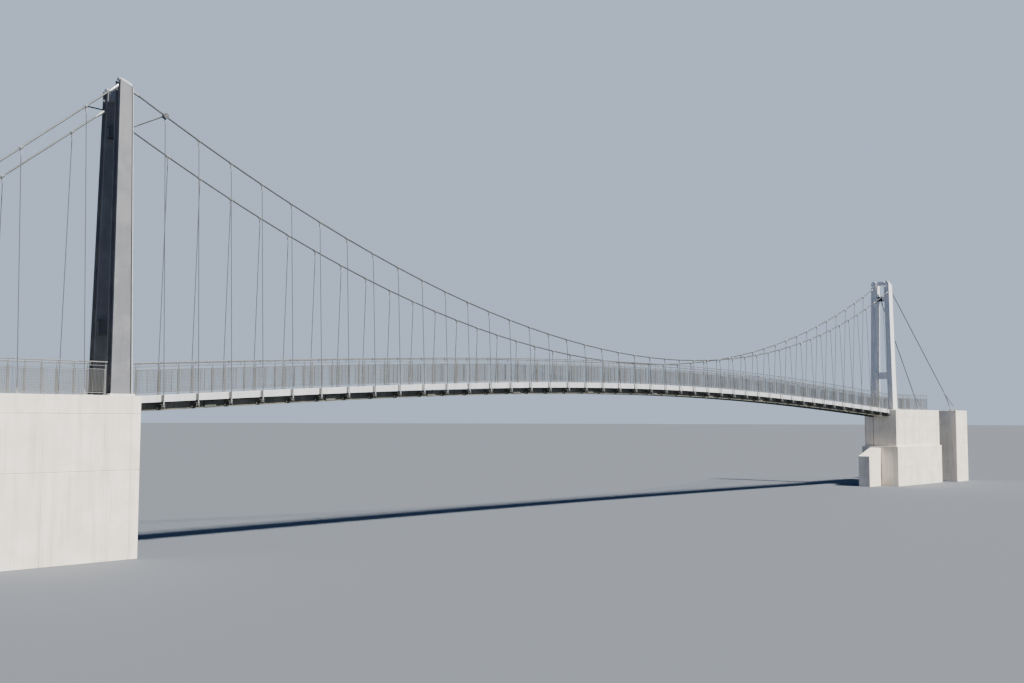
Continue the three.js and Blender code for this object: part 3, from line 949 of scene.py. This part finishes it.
def buildMainCable(sideName):
    look, side, start = cableLook, sideSigns[sideName], forkLook["rodStart"]
    left, right = cableSpan(sideName)
    steps = look["steps"]
    points = [cablePoint(sideName, left + (right - left) * i / steps) for i in range(steps + 1)]
    bm = bmesh.new()
    strandedCable(bm, points, look["radius"])
    node = "main_cable_" + sideName
    finishPiece(node, bm, "cableSteel", [node], smooth=True)
    rods, fittings = bmesh.new(), bmesh.new()
    for x in sideHangers[sideName]:
        foot = Vector((x, side * frameLook["hangerReach"], crown(x) + frameLook["pinHeight"]))
        pin = clampAndFork(fittings, cablePoint(sideName, x), cableDirection(sideName, x), foot)
        stamp(fittings, fork, hangTo(foot, pin, "X"))
        upward = (pin - foot).normalized()
        rod(rods, foot + upward * start, pin - upward * start, look["hangerRadius"])
    # sleeves where the cable enters the legs
    for x, reach in ((left, look["sleeveLength"]), (right, -look["sleeveLength"])):
        rod(fittings, cablePoint(sideName, x), cablePoint(sideName, x + reach), 0.055, 12, 0.046)
    if sideName == "near":
        # the round plates of the first clamp, where the head ties meet, and the thin wire above it
        first = cablePoint(sideName, hangerXs[0])
        for y in around(0, look["tiePlateY"]):
            disc(rods, first + Vector((0, y, 0)), 0.0075, 0.1, 16)
            disc(fittings, first + Vector((0, y, 0)), 0.0195, 0.022, 6)
        height = first.z + look["tieWireRise"]
        wireEnd = Vector((legHalfWidth("left", height), -legCentre(height), height))
        rod(rods, first + Vector((0, 0, 0.06)), wireEnd, 0.006, 6)
    finishPiece("hangers_" + sideName, rods, "hangerSteel", smooth=True)
    finishPiece("hangerFittings_" + sideName, fittings, "brightFittings", smooth=True)


for sideName in sideSigns:
    buildMainCable(sideName)
print("cables ready")

# Backstays

stayLook = {
    "step": 0.06,
    "footReach": 1.35,
    "forkHeight": 1.3,
    "forkSpread": 0.45,
    "hubHalf": 0.08,
    "plateHalf": 0.12,
    "plateThickness": 0.03,
    "plateBolts": (-0.085, 0.085),
    "pinHeight": 0.14,
    "hangerReach": 1.05,
    "hangerPlateHalf": 0.09,
    "left": {"slope": 0.85, "direction": -1, "hangers": {"near": [-1.43, -3.7], "far": [-1.4, -3.7]}},
    "right": {"slope": 1.0, "direction": 1, "hangers": {"near": [], "far": []}},
}


def stayEnds(part, sideName):
    look, stay, side = stayLook, stayLook[part], sideSigns[sideName]
    height = cableLook[sideName][part + "Stay"]
    socketPlay = cableLook["socketRadius"] * 0.75 + 0.003
    x = towers[part]["x"] + stay["direction"] * (legWeb(part, height) + socketPlay)
    run = (height - look["forkHeight"]) / stay["slope"]
    hub = Vector((x + stay["direction"] * run, side * look["footReach"] * 0.95, look["forkHeight"]))
    return Vector((x, side * legCentre(height), height)), hub


def straightCable(bm, start, end, radius):
    steps = int((end - start).length / stayLook["step"])
    strandedCable(bm, [start.lerp(end, i / steps) for i in range(steps + 1)], radius)


def stayFoot(bm, foot, towards):
    # a bolted plate with a lug and the turnbuckle on it; gives back the lug's pin
    look = stayLook
    half, thick = look["plateHalf"], look["plateThickness"]
    blockAt(bm, foot, (-half, -half, 0), (half, half, thick), 0.006)
    blockAt(bm, foot, (-0.012, -0.05, thick), (0.012, 0.05, 0.17), 0.006)
    for dx, dy in product(look["plateBolts"], repeat=2):
        hexBolt(bm, foot + Vector((dx, dy, thick)), (0, 0, 1), "stayFoot")
    pin = foot + Vector((0, 0, look["pinHeight"]))
    along = (towards - pin).normalized()
    rod(bm, pin, pin + along * 0.16, 0.045, 10)
    rod(bm, pin + along * 0.16, pin + along * 0.42, 0.05, 12, 0.038)
    return pin


def buildBackstay(part, sideName):
    look, stay, side = stayLook, stayLook[part], sideSigns[sideName]
    top, hub = stayEnds(part, sideName)
    along = (hub - top).normalized()
    radius, socket, half = cableLook["radius"], cableLook["socketRadius"], look["hubHalf"]
    cable, fittings = bmesh.new(), bmesh.new()
    straightCable(cable, top, hub, radius)
    rod(fittings, top, top + along * 0.3, socket, 14, socket * 0.85)
    rod(fittings, top + along * 0.3, top + along * 0.46, socket * 0.8, 14, radius * 1.1)
    blockAt(fittings, hub, (-half, -0.03, -half), (half, 0.03, half), 0.02)
    for y in (-0.04, 0.04):
        disc(fittings, hub + Vector((0, y, 0)), 0.01, 0.06, 12)
    rod(fittings, hub - along * 0.36, hub - along * 0.04, radius * 1.1, 12, 0.055)
    forkX = hub.x + stay["direction"] * look["forkHeight"] / stay["slope"]
    for offset in around(0, look["forkSpread"]):
        foot = Vector((forkX + offset, side * look["footReach"], 0.001))
        straightCable(cable, stayFoot(fittings, foot, hub), hub, radius * 0.85)
    half = look["hangerPlateHalf"]
    for x in stay["hangers"][sideName]:
        point = top.lerp(hub, (x - top.x) / (hub.x - top.x))
        base = Vector((point.x, side * look["hangerReach"], 0.001))
        foot = base + Vector((0, 0, 0.159))
        pin = clampAndFork(fittings, point, along if along.x > 0 else -along, foot)
        rod(cable, foot, pin + (foot - pin).normalized() * forkLook["rodStart"], cableLook["hangerRadius"])
        blockAt(fittings, base, (-half, -half, 0), (half, half, 0.03), 0.004)
        rod(fittings, base + Vector((0, 0, 0.03)), base + Vector((0, 0, 0.2)), 0.028, 10, 0.016)
    finishPiece(f"backstay_{part}_{sideName}", cable, "cableSteel",
                [f"{part}_backstay_{sideName}"], smooth=True)
    finishPiece(f"backstayFittings_{part}_{sideName}", fittings, "brightFittings", smooth=True)


for part, sideName in product(towers, sideSigns):
    buildBackstay(part, sideName)
print("backstays ready")

# Tower trim

trimLook = {
    "boltInset": 0.045,
    "boltsAcross": 5,
    "seamFoot": 0.08,
    "seamHead": 0.22,
    "seamShares": (0.78, 0.94),
    "seamProud": 0.002,
    "edgeShares": (0.94, 1.0),
    "edgeProud": 0.006,
    "beamPlate": 0.1,
    "beamPlateThickness": 0.012,
    "tieRadius": 0.026,
}


def legFace(part, side, height, share, proud):
    # a point on a leg's outer face: share runs from -1 at its left edge to 1 at its right edge
    reach = legCentre(height) + bridge["legDepth"] / 2 + proud
    return Vector((towers[part]["x"] + share * legHalfWidth(part, height), side * reach, height))


def legStrip(bm, part, side, shares, heights, thickness):
    # a flat bar that follows the taper and the lean of the leg
    (left, right), sunk = shares, -0.002
    ring = ((left, sunk), (right, sunk), (right, thickness), (left, thickness))
    corners = [bm.verts.new(legFace(part, side, height, *corner)) for height in heights for corner in ring]
    bm.faces.new(corners[:4])
    bm.faces.new(corners[4:])
    for i in range(4):
        j = (i + 1) % 4
        bm.faces.new((corners[i], corners[j], corners[j + 4], corners[i + 4]))


def buildLegSeams(part):
    look = trimLook
    seamShade, edges = bmesh.new(), bmesh.new()
    for sideName, side in sideSigns.items():
        top = nodeBox(f"{part}_tower_leg_{sideName}")[1].z
        heights = (look["seamFoot"], top - look["seamHead"])
        # a near-black strip near each leg's right edge: painted shade of the groove there
        legStrip(seamShade, part, side, look["seamShares"], heights, look["seamProud"])
        # a strip in the light steel paint along each leg's right edge: painted highlight of the lit edge on
        # the dark left tower
        legStrip(edges, part, side, look["edgeShares"], heights, look["edgeProud"])
    finishPiece(part + "LegSeams", seamShade, "seamFiller")
    finishPiece(part + "LegEdges", edges, "lightSteel")


def buildTowerTrim(part):
    look = trimLook
    inset, thick, count = look["boltInset"], look["beamPlateThickness"], look["boltsAcross"]
    bolts, plates = bmesh.new(), bmesh.new()
    for sideName in sideSigns:
        low, high = nodeBox(f"{part}_base_plate_{sideName}")
        for i in range(count):
            x = low.x + inset + (high.x - low.x - 2 * inset) * i / (count - 1)
            for y in (low.y + inset * 0.8, high.y - inset * 0.8):
                hexBolt(bolts, (x, y, high.z), (0, 0, 1), "towerFoot")
    for beam in beamNames:
        low, high = nodeBox(f"{part}_tower_{beam}")
        for side in sideSigns.values():
            edge = legCentre(low.z) - bridge["legDepth"] / 2 - 0.006
            ys = sideBand(side, edge, edge - look["beamPlate"])
            for x in (low.x - thick - 0.002, high.x + 0.002):
                block(plates, (x, ys[0], low.z + 0.03), (x + thick, ys[1], high.z - 0.03), 0.003)
    finishPiece(part + "BaseBolts", bolts, "brightFittings")
    finishPiece(part + "BeamPlates", plates, part + "TowerPaint")


def buildHeadTies():
    # the ties at the left head run from corner to corner of their boxes
    for part in ("front", "back"):
        node = "left_head_tie_" + part
        low, high = nodeBox(node)
        corners = (high.x, low.y, high.z), (low.x, high.y, low.z)
        if part == "back":
            corners = low, high
        bm = bmesh.new()
        rod(bm, *corners, trimLook["tieRadius"], 10)
        finishPiece("headTie_" + part, bm, "girderSteel", [node], smooth=True)


for part in towers:
    buildTowerTrim(part)
    buildLegSeams(part)
buildHeadTies()
print("tower trim ready")

# Finishes of the nodes that stay


def dress(node, finish):
    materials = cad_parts[node].data.materials
    materials.clear()
    materials.append(finishes[finish])


for part in towers:
    for sideName in sideSigns:
        dress(f"{part}_tower_leg_{sideName}", part + "TowerPaint")
        dress(f"{part}_base_plate_{sideName}", "lightSteel")
        dress(f"{part}_leg_cover_{sideName}", "lightSteel")
    for beam in beamNames:
        dress(f"{part}_tower_{beam}", part + "TowerPaint")
# the beams between the legs that lie in shade get near-black paint: painted shade
for node in ("left_tower_lower_beam", "left_tower_upper_beam", "right_tower_upper_beam"):
    dress(node, "paintedBeamShade")
dress("right_pier_buttress", "concrete")
print("kept nodes dressed")

# Floor, light and camera

studio = {
    "floorColour": (0.125, 0.14, 0.16),
    "floorRoughness": 0.9,
    "floorRadius": 120,
    "skyColour": (0.24, 0.46, 1.0),
    "backdropColour": (0.5, 0.62, 0.8),
    "skyStrength": 0.25,
    "sunColour": (1.0, 0.96, 0.9),
    "sunStrength": 11.0,
    "sunAzimuth": 5,       # degrees from -Y towards +X
    "sunHeight": 48,
    "sunSize": 4,
    "cameraSpot": (-18.555, -37.81, -0.785),
    "cameraYaw": 46.15,
    "cameraPitch": 4.025,
    "cameraRoll": 0.153,
    "focalPixels": 1103.3,
    "imageWidth": 1024,
    "sensorWidth": 36,
    "clipEnd": 500,
}


def buildFloor():
    material, tree, shader = newFinish("floorFinish")
    feeds = {"Base Color": (*studio["floorColour"], 1), "Roughness": studio["floorRoughness"]}
    feedNode(tree, shader, feeds)
    bm = bmesh.new()
    bmesh.ops.create_circle(bm, cap_ends=True, segments=96, radius=studio["floorRadius"])
    mesh = bpy.data.meshes.new("floor")
    bm.to_mesh(mesh)
    bm.free()
    mesh.materials.append(material)
    floor = addObject("floor", mesh)


def buildLight():
    world = bpy.data.worlds.new("studioSky")
    world.use_nodes = True
    tree = world.node_tree
    fill = tree.nodes["Background"]
    feedNode(tree, fill, {"Color": (*studio["skyColour"], 1), "Strength": studio["skyStrength"]})
    backdrop = addNode(tree, "ShaderNodeBackground", {"Color": (*studio["backdropColour"], 1)})
    seen = addNode(tree, "ShaderNodeLightPath").outputs["Is Camera Ray"]
    feeds = {"Fac": seen, 1: fill.outputs["Background"], 2: backdrop.outputs["Background"]}
    joined = addNode(tree, "ShaderNodeMixShader", feeds)
    feedNode(tree, tree.nodes["World Output"], {"Surface": joined.outputs["Shader"]})
    bpy.context.scene.world = world
    sun = bpy.data.lights.new("sun", "SUN")
    sun.energy = studio["sunStrength"]
    sun.angle = math.radians(studio["sunSize"])
    sun.color = studio["sunColour"]
    azimuth, height = math.radians(studio["sunAzimuth"]), math.radians(studio["sunHeight"])
    towards = Vector((math.sin(azimuth) * math.cos(height), -math.cos(azimuth) * math.cos(height),
                      math.sin(height)))
    addObject("sun", sun).rotation_euler = towards.to_track_quat("Z", "Y").to_euler()


def buildCamera():
    camera = bpy.data.cameras.new("camera")
    camera.sensor_width = studio["sensorWidth"]
    camera.lens = studio["focalPixels"] * camera.sensor_width / studio["imageWidth"]
    camera.clip_end = studio["clipEnd"]
    cameraObject = addObject("camera", camera)
    turn = (Matrix.Rotation(-math.radians(studio["cameraYaw"]), 4, "Z")
            @ Matrix.Rotation(math.radians(90 + studio["cameraPitch"]), 4, "X")
            @ Matrix.Rotation(math.radians(studio["cameraRoll"]), 4, "Z"))
    cameraObject.matrix_world = Matrix.Translation(toFrame @ Vector(studio["cameraSpot"])) @ turn
    bpy.context.scene.camera = cameraObject


buildFloor()
buildLight()
buildCamera()
for mesh in (shells, fork):
    bpy.data.meshes.remove(mesh)
